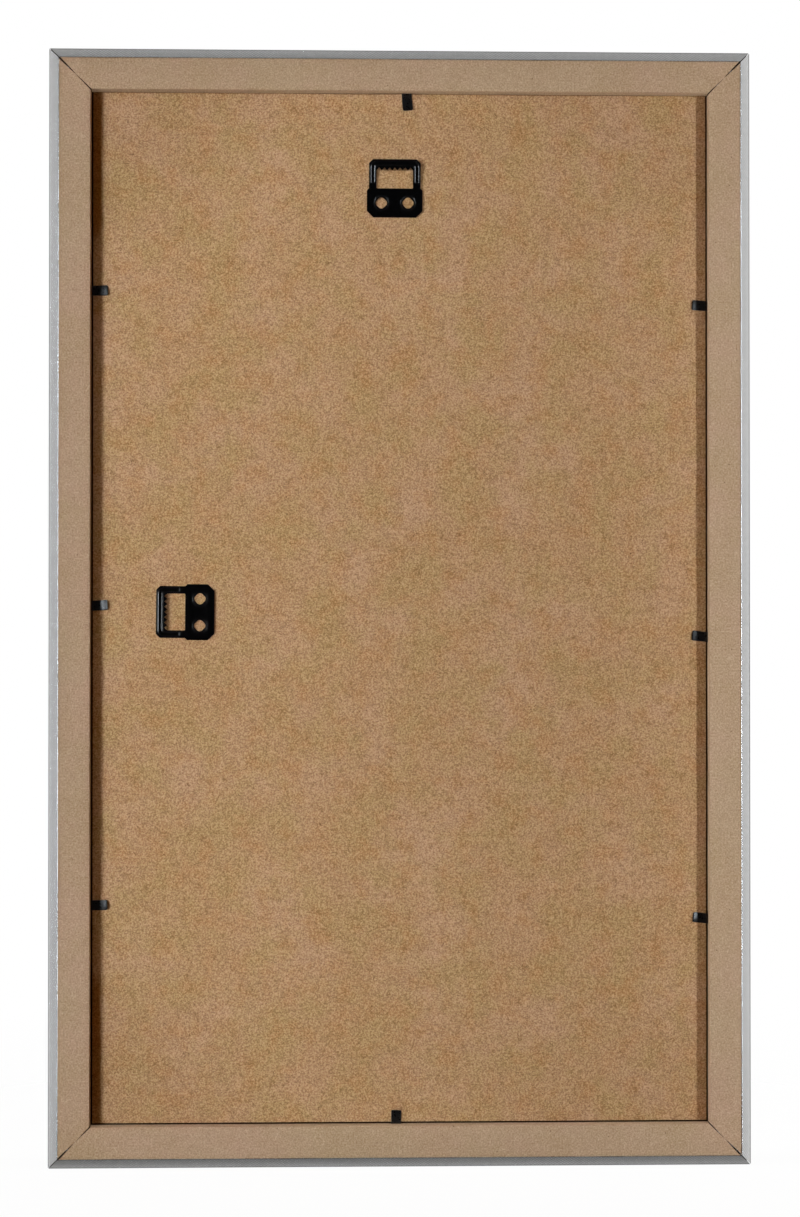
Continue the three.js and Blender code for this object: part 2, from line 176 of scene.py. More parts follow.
PRONG_ROOT = 0.3 * MM
PRONG_LENGTH = 2.2 * MM
PRONG_WIDTH = 2.2 * MM
PRONG_THICKNESS = 0.6 * MM
PRONG_TAPER = 0.3

# Rows of points across a tab's bend and a hanger's, in millimetres from the bend
TAB_BEND_ROWS = (-0.4, -0.2, 0, 0.2, 0.4)
HANGER_BEND_ROWS = (-0.6, -0.4, -0.2, 0, 0.2, 0.4, 0.6)

# Steps in which the bead and the dishes are pressed, as inset and rise in millimetres
BEAD_PROFILE = (
    (0.1, 0.06),
    (0.12, 0.2),
    (0.1, 0.16),
    (0.11, 0.045),
    (0.11, 0.04),
    (0.11, 0.02),
    (0.1, 0.005),
)
DISH_PROFILE = ((0.1, -0.03), (0.12, -0.07), (0.12, -0.14))

# Camera, from the middle of the frame: fitted to its corners and hangers in an 800 x 1217 image
CAMERA_PLACE = middle + Vector((0.0501, 1.4209, -0.0174))
CAMERA_AIM = middle + Vector((0.0005, 0.009, -0.0006))
CAMERA_LENS = 85.96
CAMERA_SENSOR = 36

# Weak warm light of the room itself, and the cool colour of the lamps
AMBIENT = 0.15
AMBIENT_COLOUR = "#FFBC59"
DAYLIGHT = "#EFF8FF"

# Room that glossy surfaces mirror: its walls' level, how that changes with direction, and the front wall's
WALL_LEVEL = 0.193
WALL_ASIDE = 0.442
WALL_LEFT = -0.095
WALL_UP = 0.095
FRONT_LEVEL = 0.55

# The floor, which fades out between two distances from the frame's foot and is white mostly by its own glow
FLOOR_RADIUS = 0.75
FLOOR_FADE = (0.25, 0.7)
FLOOR_DROP = 0.2 * MM
FLOOR_GLOW = 0.96


# Making a mesh by hand
def start_piece(name, add_primitive, **shape):
    """Adds a primitive with nothing else selected, and opens it for editing."""
    bpy.ops.object.select_all(action="DESELECT")
    add_primitive(**shape)
    piece = bpy.context.object
    piece.name = name
    piece.data.name = name
    bpy.ops.object.mode_set(mode="EDIT")
    return piece


def start_empty(name):
    """A piece with nothing drawn in it yet."""
    piece = start_piece(name, bpy.ops.mesh.primitive_plane_add, size=MM)
    bpy.ops.mesh.delete(type="VERT")
    return piece


def start_block(name, low, high):
    """A box between two corners, opened for editing."""
    size = Vector(high) - Vector(low)
    piece = start_piece(name, bpy.ops.mesh.primitive_cube_add, size=1)
    bpy.ops.transform.resize(value=size)
    bpy.ops.transform.translate(value=(Vector(low) + Vector(high)) / 2)
    return piece


def select(kind, test):
    """Selects only the verts, edges or faces of the open piece whose middle passes the test."""
    bpy.context.tool_settings.mesh_select_mode = [kind == each for each in ("verts", "edges", "faces")]
    bpy.ops.mesh.select_all(action="DESELECT")
    mesh = bpy.context.object.data
    shape = bmesh.from_edit_mesh(mesh)
    for part in getattr(shape, kind):
        corners = [part] if kind == "verts" else list(part.verts)
        centre = sum((corner.co for corner in corners), Vector()) / len(corners)
        if test(centre):
            part.select_set(True)
    bmesh.update_edit_mesh(mesh)


def draw_chain(points):
    """Draws an open line through the points by extruding one point from each to the next, and selects it."""
    bpy.context.tool_settings.mesh_select_mode = (True, False, False)
    bpy.ops.mesh.select_all(action="DESELECT")
    points = [Vector(point) for point in points]
    bpy.ops.mesh.primitive_plane_add(size=0.1 * MM, location=points[0])
    bpy.ops.mesh.merge(type="CENTER")
    for here, there in zip(points, points[1:]):
        bpy.ops.mesh.extrude_vertices_move(TRANSFORM_OT_translate={"value": there - here})
    bpy.ops.mesh.select_linked()


def draw_outline(points):
    """Draws a closed outline, filled with one face."""
    draw_chain(points)
    bpy.ops.mesh.edge_face_add()


def near(point, corners):
    """Whether a point is one of those corners."""
    return any((point - Vector(corner)).length < CLOSE for corner in corners)


def round_corners(corners, radius, steps, turn=90):
    """Rounds corners of a drawn outline, each of which turns through that many degrees."""
    select("verts", lambda point: near(point, corners))
    offset = radius * math.tan(math.radians(turn) / 2)
    bpy.ops.mesh.bevel(affect="VERTICES", offset=offset, segments=steps, clamp_overlap=False)


def cut_across(place, normal, **trim):
    """Cuts the whole open piece along a plane, and trims one side away where asked."""
    bpy.ops.mesh.select_all(action="SELECT")
    bpy.ops.mesh.bisect(plane_co=place, plane_no=normal, **trim)


def curl(rows, angle, axis, beyond):
    """Turns what lies beyond each row by an equal share of the angle, so that the sheet has no crease."""
    for row in rows:
        select("verts", lambda point: beyond(point) > beyond(row) + EXACT)
        bpy.ops.transform.rotate(value=angle / len(rows), orient_axis=axis, center_override=row)


def both_halves(half):
    """A right-hand outline followed by its mirror image."""
    return half + [(-x, y, z) for x, y, z in reversed(half)]


def modify(piece, kind, **settings):
    """Adds a modifier with its settings and applies it."""
    made = piece.modifiers.new(kind.title(), kind)
    for name, value in settings.items():
        setattr(made, name, value)
    bpy.ops.object.modifier_apply(modifier=made.name)


def duplicate(piece, name):
    """A copy of a finished shape, with its own mesh."""
    bpy.ops.object.select_all(action="DESELECT")
    piece.select_set(True)
    bpy.context.view_layer.objects.active = piece
    bpy.ops.object.duplicate()
    copy = bpy.context.object
    copy.name = name
    copy.data.name = name
    return copy


def bench(origin, along):
    """The place of a piece on the back, its x axis along a direction and its z axis out of the back."""
    across = OUT.cross(along)
    turn = Matrix((along, across, OUT)).transposed()
    return Matrix.Translation(origin) @ turn.to_4x4()


def put(piece, place):
    """Moves a finished shape from where it was drawn to its place, and keeps that place in its mesh."""
    piece.matrix_world = place @ piece.matrix_world
    bpy.ops.object.transform_apply()


def dress(piece, material):
    """Smooth shading with hard arrises, and the finish."""
    bpy.ops.object.shade_smooth_by_angle(angle=HARD_ARRIS)
    piece.data.materials.clear()
    piece.data.materials.append(material)


# Making a material
def linear(code):
    """An sRGB hex colour as linear red, green, blue and alpha."""
    parts = [int(code[start:start + 2], 16) / 255 for start in (1, 3, 5)]
    light = [part / 12.92 if part <= 0.04045 else ((part + 0.055) / 1.055) ** 2.4 for part in parts]
    return (*light, 1)


def per_metre(size):
    """Pattern scale at which one feature is that many millimetres wide."""
    return 1 / (size * MM)


def start_material(name):
    """A material with no nodes yet, and its tree."""
    material = bpy.data.materials.new(name)
    material.use_nodes = True
    material.node_tree.nodes.clear()
    return material, material.node_tree


def add_node(tree, kind, inputs=None, **settings):
    """Adds a node with its settings, and fills its sockets with values or links them to other sockets."""
    made = tree.nodes.new(kind)
    for name, value in settings.items():
        setattr(made, name, value)
    for socket, value in (inputs or {}).items():
        if isinstance(value, bpy.types.NodeSocket):
            tree.links.new(value, made.inputs[socket])
        else:
            made.inputs[socket].default_value = value
    return made.outputs


# A Mix node of colours takes its two colours and gives its result at these sockets
MIX_FROM = 6
MIX_TO = 7
MIXED = 2

# The foil's map of itself laid flat, in millimetres, and the rails' mark on the faces of their sawn ends
UNROLLED = "unrolled"
SAWN = "sawn_end"

# Millimetres along the rail between ridges of the foil's lattice, and the colour of the painted shade in the
# gaps
LATTICE_PITCH = 1.8
GAP_SHADE_COLOUR = "#24180F"


def felted_wood(name, base, patches, fibres, specks, roughness, shade_below=None):
    """Pressed wood fibre: patches of tone laid over each other from large to fine, then single fibres, then
    specks of bark. Sizes are in millimetres. Patches and fibres also have the noise that they span, their
    strength and tone, and fibres the degrees that they are turned by. Specks are kept where a random grey is
    under a threshold. Below the given level and on sawn ends, the colour is darkened as painted gap shade."""
    material, tree = start_material(name)
    place = add_node(tree, "ShaderNodeTexCoord")["Object"]
    colour = linear(base)
    for size, low, high, share, tone in patches:
        cloud = add_node(tree, "ShaderNodeTexNoise", {
            "Vector": place, "Scale": per_metre(size), "Detail": 3, "Roughness": 0.6})["Fac"]
        amount = add_node(tree, "ShaderNodeMapRange", {0: cloud, 1: low, 2: high, 3: 0, 4: share})[0]
        colour = add_node(tree, "ShaderNodeMix", {
            0: amount, MIX_FROM: colour, MIX_TO: linear(tone)}, data_type="RGBA")[MIXED]
    for turn, length, width, low, high, share, tone in fibres:
        lay = add_node(tree, "ShaderNodeMapping", {
            "Vector": place, "Rotation": (0.15, math.radians(turn), 0.1),
            "Scale": (length * MM, width * MM, width * MM)}, vector_type="TEXTURE")[0]
        strand = add_node(tree, "ShaderNodeTexNoise", {
            "Vector": lay, "Scale": 1, "Detail": 1, "Distortion": 0.4})["Fac"]
        amount = add_node(tree, "ShaderNodeMapRange", {0: strand, 1: low, 2: high, 3: 0, 4: share})[0]
        colour = add_node(tree, "ShaderNodeMix", {
            0: amount, MIX_FROM: colour, MIX_TO: linear(tone)}, data_type="RGBA")[MIXED]
    spacing, radius, kept, tone = specks
    bark = add_node(tree, "ShaderNodeTexVoronoi", {"Vector": place, "Scale": per_metre(spacing)})
    dot = add_node(tree, "ShaderNodeMapRange", {
        0: bark["Distance"], 1: 0.5 * radius / spacing, 2: radius / spacing, 3: 0.75, 4: 0})[0]
    chance = add_node(tree, "ShaderNodeMath", {0: bark["Color"], 1: kept}, operation="LESS_THAN")[0]
    amount = add_node(tree, "ShaderNodeMath", {0: dot, 1: chance}, operation="MULTIPLY")[0]
    colour = add_node(tree, "ShaderNodeMix", {
        0: amount, MIX_FROM: colour, MIX_TO: linear(tone)}, data_type="RGBA")[MIXED]
    # Painted shade: the colour darkens on the rebate walls below the given level, down in the gaps round the
    # backboard, and on the sawn ends in the mitre gaps
    if shade_below is not None:
        level = add_node(tree, "ShaderNodeSeparateXYZ", {0: place})["Y"]
        deep = add_node(tree, "ShaderNodeMapRange", {0: level, 1: shade_below, 2: shade_below - 0.5 * MM})[0]
        sawn = add_node(tree, "ShaderNodeAttribute", attribute_name=SAWN)["Fac"]
        dark = add_node(tree, "ShaderNodeMath", {0: deep, 1: sawn}, operation="MAXIMUM")[0]
        colour = add_node(tree, "ShaderNodeMix", {
            0: dark, MIX_FROM: colour, MIX_TO: linear(GAP_SHADE_COLOUR)}, data_type="RGBA")[MIXED]
    felt = add_node(tree, "ShaderNodeTexNoise", {
        "Vector": place, "Scale": per_metre(0.9), "Detail": 3})["Fac"]
    nap = add_node(tree, "ShaderNodeBump", {"Height": felt, "Distance": 0.08 * MM, "Strength": 0.5})[0]
    wood = add_node(tree, "ShaderNodeBsdfPrincipled", {
        "Base Color": colour, "Roughness": roughness, "Specular IOR Level": 0.03, "Normal": nap})[0]
    add_node(tree, "ShaderNodeOutputMaterial", {"Surface": wood})
    return material


def raw_fibreboard():
    """Medium-density fibreboard, sawn and sanded but bare: a matt pale tan felt, slightly cloudy, with short
    light fibres and a few dark specks. Fibres are drawn twice as wide as real ones, so that they show."""
    patches = (
        (45, 0.4, 0.64, 0.7, "#B1917B"),
        (20, 0.42, 0.66, 0.6, "#A58C6C"),
        (4, 0.5, 0.7, 0.3, "#9A7F66"),
        (0.8, 0.5, 0.66, 0.5, "#CFB79D"),
        (0.8, 0.5, 0.34, 0.5, "#84694F"),
    )
    fibres = [(turn, 4, 0.4, 0.64, 0.78, 0.5, "#CFB99F") for turn in (15, 70, 125)]
    fibres += [(turn, 2, 0.35, 0.72, 0.8, 0.5, "#7A5D43") for turn in (45, 150)]
    specks = (7, 0.4, 0.3, "#5F452F")
    # Painted shade in the gaps, below the backboard's back face
    return felted_wood(
        "raw_fibreboard_sanded", "#AC9377", patches, fibres, specks, 0.92, shade_below=cad_high.y - BOARD_LEVEL)


def brown_backboard():
    """Thin brown fibreboard, hot pressed and bare: a granular orange-brown face, mottled olive and pink, with
    dark blotches, thin dark and light fibres and grains of bark, and almost no gloss. Its fibres too are
    drawn wider than real ones, so that they show."""
    patches = (
        (40, 0.42, 0.62, 0.8, "#B18D70"),
        (24, 0.42, 0.62, 0.8, "#A18458"),
        (11, 0.48, 0.66, 0.6, "#A6794E"),
        (5, 0.56, 0.72, 0.6, "#8C6843"),
        (0.75, 0.5, 0.66, 0.5, "#D6B28C"),
        (0.75, 0.5, 0.34, 0.55, "#6B4D32"),
    )
    fibres = [(turn, 3, 0.4, 0.7, 0.78, 0.7, "#543820") for turn in (20, 75, 135)]
    fibres += [(turn, 3, 0.4, 0.68, 0.8, 0.5, "#CFAE86") for turn in (50, 160)]
    specks = (4, 0.4, 0.35, "#4A301B")
    return felted_wood("brown_fibreboard_pressed", "#A88461", patches, fibres, specks, 0.85)


def silver_foil():
    """Metallised film, hot-stamped over the moulding: satin silver-grey, cloudy where the wood felt shows
    through, with a fine lattice of two crossed sets of ridges."""
    material, tree = start_material("silver_foil_wrapped")
    place = add_node(tree, "ShaderNodeTexCoord")["Object"]
    cloud = add_node(tree, "ShaderNodeTexNoise", {
        "Vector": place, "Scale": per_metre(2.5), "Detail": 3, "Roughness": 0.65})["Fac"]
    sheet = add_node(tree, "ShaderNodeUVMap", uv_map=UNROLLED)[0]
    relief = add_node(tree, "ShaderNodeMath", {0: cloud, 1: 0.35}, operation="MULTIPLY")[0]
    for lean in ((1, 1, 0), (1, -1, 0)):
        run = add_node(tree, "ShaderNodeVectorMath", {
            0: sheet, 1: Vector(lean)}, operation="DOT_PRODUCT")["Value"]
        phase = add_node(tree, "ShaderNodeMath", {
            0: run, 1: math.tau / LATTICE_PITCH}, operation="MULTIPLY")[0]
        ridge = add_node(tree, "ShaderNodeMath", {0: phase}, operation="SINE")[0]
        relief = add_node(tree, "ShaderNodeMath", {0: ridge, 1: 0.1, 2: relief}, operation="MULTIPLY_ADD")[0]
    shade = add_node(tree, "ShaderNodeMapRange", {0: relief, 1: 0, 2: 0.35})[0]
    colour = add_node(tree, "ShaderNodeMix", {
        0: shade, MIX_FROM: linear("#C4C4C4"), MIX_TO: linear("#DADAD9")}, data_type="RGBA")[MIXED]
    emboss = add_node(tree, "ShaderNodeBump", {"Height": relief, "Distance": 0.008 * MM, "Strength": 1})[0]
    film = add_node(tree, "ShaderNodeBsdfPrincipled", {
        "Base Color": colour, "Metallic": 0.9, "Roughness": 0.22, "Normal": emboss})[0]
    add_node(tree, "ShaderNodeOutputMaterial", {"Surface": film})
    return material


def black_lacquer(name, glossiest, dullest):
    """Sheet steel, stamped and dipped in black stoving lacquer: near-black with highlights on every pressed
    edge, tight on a glossy coat and wide and dim on a satin one, broken up a little by its orange peel."""
    material, tree = start_material(name)
    place = add_node(tree, "ShaderNodeTexCoord")["Object"]
    peel = add_node(tree, "ShaderNodeTexNoise", {
        "Vector": place, "Scale": per_metre(0.8), "Detail": 2})["Fac"]
    gloss = add_node(tree, "ShaderNodeMapRange", {0: peel, 1: 0.3, 2: 0.7, 3: glossiest, 4: dullest})[0]
    wear = add_node(tree, "ShaderNodeMapRange", {0: peel, 1: 0.62, 2: 0.8, 3: 0, 4: 0.4})[0]
    colour = add_node(tree, "ShaderNodeMix", {
        0: wear, MIX_FROM: linear("#030304"), MIX_TO: linear("#0C0D0E")}, data_type="RGBA")[MIXED]
    skin = add_node(tree, "ShaderNodeBump", {"Height": peel, "Distance": 0.01 * MM, "Strength": 0.3})[0]
    paint = add_node(tree, "ShaderNodeBsdfPrincipled", {
        "Base Color": colour, "Roughness": gloss, "Normal": skin})[0]
    add_node(tree, "ShaderNodeOutputMaterial", {"Surface": paint})
    return material


def float_glass():
    """Float glass, fire-polished: clear, with a trace of green and a faint waviness in what it mirrors."""
    material, tree = start_material("clear_float_glass")
    place = add_node(tree, "ShaderNodeTexCoord")["Object"]
    wave = add_node(tree, "ShaderNodeTexNoise", {
        "Vector": place, "Scale": per_metre(60), "Detail": 0})["Fac"]
    tint = add_node(tree, "ShaderNodeMix", {
        0: wave, MIX_FROM: linear("#F6FBF8"), MIX_TO: linear("#FBFDFC")}, data_type="RGBA")[MIXED]
    draw = add_node(tree, "ShaderNodeBump", {"Height": wave, "Distance": 0.02 * MM, "Strength": 0.2})[0]
    pane = add_node(tree, "ShaderNodeBsdfPrincipled", {
        "Base Color": tint, "Roughness": 0.02, "IOR": 1.52, "Transmission Weight": 1, "Normal": draw})[0]
    add_node(tree, "ShaderNodeOutputMaterial", {"Surface": pane})
    return material


def white_card():
    """Plain uncoated card, calendered: off-white and matt, with the faint cloudiness of its pulp."""
    material, tree = start_material("white_card_calendered")
    place = add_node(tree, "ShaderNodeTexCoord")["Object"]
    pulp = add_node(tree, "ShaderNodeTexNoise", {
        "Vector": place, "Scale": per_metre(2.5), "Detail": 4})["Fac"]
    colour = add_node(tree, "ShaderNodeMix", {
        0: pulp, MIX_FROM: linear("#ECEAE2"), MIX_TO: linear("#F5F3EC")}, data_type="RGBA")[MIXED]
    tooth = add_node(tree, "ShaderNodeBump", {"Height": pulp, "Distance": 0.03 * MM, "Strength": 0.3})[0]
    paper = add_node(tree, "ShaderNodeBsdfPrincipled", {
        "Base Color": colour, "Roughness": 0.8, "Specular IOR Level": 0.3, "Normal": tooth})[0]
    add_node(tree, "ShaderNodeOutputMaterial", {"Surface": paper})
    return material


def spring_steel():
    """Spring steel strip, cold rolled and sheared: bare grey, dulled by oil, with rolling lines along it."""
    material, tree = start_material("oiled_spring_steel")
    place = add_node(tree, "ShaderNodeTexCoord")["Object"]
    lay = add_node(tree, "ShaderNodeMapping", {
        "Vector": place, "Scale": (per_metre(0.3), per_metre(6), per_metre(0.3))})[0]
    line = add_node(tree, "ShaderNodeTexNoise", {"Vector": lay, "Scale": 1, "Detail": 2})["Fac"]
    gloss = add_node(tree, "ShaderNodeMapRange", {0: line, 1: 0.3, 2: 0.7, 3: 0.28, 4: 0.42})[0]
    colour = add_node(tree, "ShaderNodeMix", {
        0: line, MIX_FROM: linear("#4C4E52"), MIX_TO: linear("#66696D")}, data_type="RGBA")[MIXED]
    steel = add_node(tree, "ShaderNodeBsdfPrincipled", {
        "Base Color": colour, "Metallic": 1, "Roughness": gloss})[0]
    add_node(tree, "ShaderNodeOutputMaterial", {"Surface": steel})
    return material


# The moulding: each side is drawn along y with its outer side at x = 0 and its back at z = 0
SIDES = {
    "left": (Vector((cad_high.x, cad_high.y, middle.z)), Vector((-1, 0, 0)), middle.z - cad_low.z),
    "right": (Vector((cad_low.x, cad_high.y, middle.z)), Vector((1, 0, 0)), middle.z - cad_low.z),
    "top": (Vector((middle.x, cad_high.y, cad_high.z)), Vector((0, 0, -1)), middle.x - cad_low.x),
    "bottom": (Vector((middle.x, cad_high.y, cad_low.z)), Vector((0, 0, 1)), middle.x - cad_low.x),
}

# Cuts along each rail that give its ends more points, as distances in from the outer side
MITRE_CUTS = (7.5 * MM, 10.5 * MM, 13 * MM, 16.5 * MM)

# How far each rail's end stands back from the mitre, between two distances in from the outer side
MITRE_OPENINGS = (
    (0, 5.5 * MM, 0.6 * MM),
    (7 * MM, 8 * MM, 0.55 * MM),
    (10 * MM, 11 * MM, 0.3 * MM),
    (12.5 * MM, 13.5 * MM, 0),
    (16 * MM, 17 * MM, 0.2 * MM),
    (20 * MM, 20.5 * MM, 0.38 * MM),
)


def mitre_both_ends(half, gap):
    """Cuts both ends of the open length at 45 degrees, shorter towards the inside and by a gap."""
    for end in (-1, 1):
        cut_across((0, end * (half - gap), 0), (1, end, 0), clear_outer=True, use_fill=True)


def rail_core(name, half):
    """One bare fibreboard rail: its section is drawn, drawn out to length and mitred, and its sawn ends are
    opened where the real mitres gape."""
    wrap = FOIL + GLUE_LINE
    start_of_back = FOIL_EDGE + FOIL_EDGE_GAP
    inset = 1 + wrap * math.hypot(1 / BEVEL_RUN, 1 / BEVEL_DEPTH)
    sight = RAIL_WIDTH + LIP_WIDTH - wrap
    front = wrap - RAIL_DEPTH
    back_corner = (BEVEL_RUN * (inset - wrap / BEVEL_DEPTH), -half, -wrap)
    side_corner = (wrap, -half, -BEVEL_DEPTH * (inset - wrap / BEVEL_RUN))
    front_corner = (wrap, -half, front)
    sight_corner = (sight, -half, front)
    rebate_corner = (RAIL_WIDTH, -half, 0)
    piece = start_empty(name)
    draw_outline([
        (start_of_back, -half, 0),
        rebate_corner,
        (RAIL_WIDTH, -half, -REBATE_DEPTH),
        (sight, -half, -REBATE_DEPTH),
        sight_corner,
        front_corner,
        side_corner,
        back_corner,
        (start_of_back, -half, -FOIL_EDGE_GROOVE),
    ])
    round_corners([back_corner], BACK_ARRIS - wrap, 2, turn=BEVEL_SLOPE)
    round_corners([side_corner], SIDE_ARRIS - wrap, 6, turn=90 - BEVEL_SLOPE)
    round_corners([front_corner], FRONT_ARRIS - wrap, 6)
    round_corners([sight_corner], SIGHT_ARRIS - wrap, 4)
    round_corners([rebate_corner], REBATE_ARRIS, 2)
    bpy.ops.mesh.select_all(action="SELECT")
    bpy.ops.mesh.extrude_region_move(TRANSFORM_OT_translate={"value": (0, 2 * half, 0)})
    mitre_both_ends(half, MITRE_GAP)
    for inward in MITRE_CUTS:
        cut_across((inward, 0, 0), (1, 0, 0))
    for start, stop, opening in MITRE_OPENINGS:
        for end in (-1, 1):
            select("verts", lambda point: start < point.x < stop
                   and point.z > -RAIL_DEPTH / 2 and end * point.y > 0)
            bpy.ops.transform.translate(value=(0, -end * opening, 0))
    bpy.ops.mesh.select_all(action="SELECT")
    bpy.ops.mesh.normals_make_consistent(inside=False)
    bpy.ops.object.mode_set(mode="OBJECT")
    # Marks the sawn end faces, which the fibreboard darkens as painted shade in the mitre gaps
    sawn = piece.data.attributes.new(SAWN, "FLOAT", "FACE")
    for face, mark in zip(piece.data.polygons, sawn.data):
        mark.value = abs(face.normal.y) > 0.5
    return piece


def foil_wrap(name, half):
    """One length of foil: a strip folded round the bevel, side, front and sight edge, its arrises rounded."""
    folds = [
        ((BEVEL_RUN, 0), BACK_ARRIS, 4, BEVEL_SLOPE),
        ((0, -BEVEL_DEPTH), SIDE_ARRIS, 8, 90 - BEVEL_SLOPE),
        ((0, -RAIL_DEPTH), FRONT_ARRIS, 6, 90),
        ((RAIL_WIDTH + LIP_WIDTH, -RAIL_DEPTH), SIGHT_ARRIS, 4, 90),
    ]
    start = (FOIL_EDGE, -half, 0)
    end = (RAIL_WIDTH + LIP_WIDTH, -half, -REBATE_DEPTH)
    piece = start_empty(name)
    draw_chain([start, *[(x, -half, z) for (x, z), *_ in folds], end])
    bpy.ops.mesh.extrude_region_move(TRANSFORM_OT_translate={"value": (0, 2 * half, 0)})
    for (x, z), radius, steps, turn in folds:
        select("edges", lambda point: near(point, [(x, 0, z)]))
        offset = radius * math.tan(math.radians(turn) / 2)
        bpy.ops.mesh.bevel(offset=offset, segments=steps, clamp_overlap=False)
    bpy.ops.mesh.select_all(action="SELECT")
    bpy.ops.mesh.normals_make_consistent(inside=False)
    bpy.ops.object.mode_set(mode="OBJECT")
    modify(piece, "SOLIDIFY", thickness=FOIL, offset=-1, use_even_offset=True)
    bpy.ops.object.mode_set(mode="EDIT")
    mitre_both_ends(half, FOIL_MITRE_GAP)
    bpy.ops.object.mode_set(mode="OBJECT")
    flat = piece.data.uv_layers.new(name=UNROLLED)
    for corner, spot in zip(piece.data.loops, flat.data):
        point = piece.data.vertices[corner.vertex_index].co / MM
        spot.uv = (point.y, point.x + point.z)
    return piece


def cut_slots(rail, side):
    """Cuts the slots that the tabs were driven into, with the mouth crushed wider by the driver."""
    for name in [tab for tab in TABS if tab.startswith(side)]:
        half = TAB_WIDTH / 2 + SLOT_CLEARANCE
        end = TAB_WALL - TAB_SHANK_DEPTH - SLOT_CLEARANCE
        under = -TAB_THICKNESS - SLOT_CLEARANCE
        slot = start_block("slot", (end, -half, under), (-TAB_WALL, half, SLOT_CLEARANCE))
        cut_across((TAB_WALL - SLOT_MOUTH_DEPTH, 0, 0), (1, 0, 0))
        select("verts", lambda point: point.x > TAB_WALL)
        bpy.ops.transform.resize(value=SLOT_MOUTH, center_override=(0, 0, -TAB_THICKNESS / 2))
        bpy.ops.object.mode_set(mode="OBJECT")
        put(slot, tab_place(name))
        bpy.context.view_layer.objects.active = rail
        modify(rail, "BOOLEAN", operation="DIFFERENCE", object=slot, solver="EXACT")
        bpy.data.objects.remove(slot)


# The tabs: modelled once lying straight, then copied, lifted and put at their bends
def tab_place(name):
    """Where a tab's bend lies: x out of the rebate wall, z out of the back."""
    bend = joints[name + "_tab_bend"]
    return bench(Vector(bend["pos_m"]), OUT.cross(Vector(bend["axis"])))


def straight_tab():
    """A flat tab with its pointed shank, cut into rows where it bends."""
    shank_end = TAB_WALL - TAB_SHANK_DEPTH
    half = TAB_WIDTH / 2
    piece = start_block("tab", (shank_end, -half, -TAB_THICKNESS), (LONGEST_TAB, half, 0))
    cut_across((shank_end + TAB_POINT, 0, 0), (1, 0, 0))
    cut_across((TAB_WALL, 0, 0), (1, 0, 0))
    select("verts", lambda point: point.x < shank_end + CLOSE)
    bpy.ops.transform.resize(value=(1, TAB_POINT_WIDTH / TAB_WIDTH, 1), center_override=(0, 0, 0))
    select("verts", lambda point: point.x > LONGEST_TAB - CLOSE)
    bpy.ops.transform.resize(value=(1, TAB_TIP_WIDTH / TAB_WIDTH, 1), center_override=(0, 0, 0))
    select("edges", lambda point: point.x > LONGEST_TAB - CLOSE
           and abs(point.z + TAB_THICKNESS / 2) < CLOSE)
    bpy.ops.mesh.bevel(offset=TAB_TIP_RADIUS, segments=5)
    for row in TAB_BEND_ROWS:
        cut_across((row * MM, 0, 0), (1, 0, 0))
    for row in tab_rows(LONGEST_TAB):
        cut_across(row, (1, 0, 0))
    bpy.ops.object.mode_set(mode="OBJECT")
    return piece


def tab_rows(tip):
    """Where the blade curls up, in steps out to its tip."""
    steps = 6
    return [Vector((TAB_FLAT + (tip - TAB_FLAT) * step / steps, 0, 0)) for step in range(steps)]


def driven_tab(pattern, name, material):
    """One tab at its bend, its blade cut to its own length and lifted by its own angle."""
    tip, lift = TABS[name]
    shorter = (tip - TAB_FLAT) / (LONGEST_TAB - TAB_FLAT)
    piece = duplicate(pattern, name + "_tab")
    bpy.ops.object.mode_set(mode="EDIT")
    select("verts", lambda point: point.x > TAB_FLAT)
    bpy.ops.transform.resize(value=(shorter, 1, 1), center_override=(TAB_FLAT, 0, 0))
    curl(tab_rows(tip), math.radians(lift), "Y", lambda point: point.x)
    bpy.ops.object.mode_set(mode="OBJECT")
    modify(piece, "BEVEL", width=SHEARED_EDGE, segments=2, limit_method="ANGLE", angle_limit=math.radians(40))
    place = tab_place(name)
    put(piece, place)
    dress(piece, material)
    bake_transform(piece)
    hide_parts(name + "_tab_shank", name + "_tab_blade")


# The hangers: one stamped sheet, modelled once lying flat and then bent
def hanger_place(name):
    """Where a hanger's bend lies: x across it, y towards its loop and z out of the back."""
    bend = joints[name + "_hanger_bend"]
    return bench(Vector(bend["pos_m"]), Vector(bend["axis"]))


def hanger_edge():
    """The sheet's outer edge: a plate with cut corners and a narrower loop."""
    plate = PLATE_WIDTH / 2
    loop = LOOP_WIDTH / 2
    foot = -BEND_LINE - PLATE_HEIGHT
    crown = LOOP_HEIGHT - BEND_LINE
    half = [
        (plate - PLATE_CHAMFER, foot, 0),
        (plate, foot + PLATE_CHAMFER, 0),
        (plate, loop - plate - BEND_LINE, 0),
        (loop, -BEND_LINE, 0),
        (loop, crown - LOOP_CHAMFER, 0),
        (loop - LOOP_CHAMFER, crown, 0),
    ]
    edge = both_halves(half)
    draw_outline(edge)
    round_corners(edge, SHEET_CORNER, 3, turn=45)


def hanger_window():
    """The opening between the arms, with a row of teeth for the nail along its top."""
    inside = LOOP_WIDTH / 2 - ARM_WIDTH
    foot = -BEND_LINE
    root = LOOP_HEIGHT - BEND_LINE - BAR_WIDTH
    pitch = 2 * inside / NOTCHES
    tips = [(-inside + notch * pitch, root - TOOTH_DEPTH, 0) for notch in range(NOTCHES + 1)]
    roots = [(-inside + (notch + 0.5) * pitch, root, 0) for notch in range(NOTCHES)]
    teeth = [tips[0]]
    for valley, tip in zip(roots, tips[1:]):
        teeth += [valley, tip]
    feet = [(inside, foot, 0), (-inside, foot, 0)]
    draw_outline(feet + teeth)
    round_corners(feet, WINDOW_CORNER, 3)
    round_corners(roots + tips[1:-1], TOOTH_RADIUS, 2, turn=80)


def press(profile):
    """Presses the selected face up or down in steps of inset and rise, so that its flanks curve."""
    for inset, rise in profile:
        bpy.ops.mesh.inset(thickness=inset * MM)
        bpy.ops.transform.translate(value=(0, 0, rise * MM))


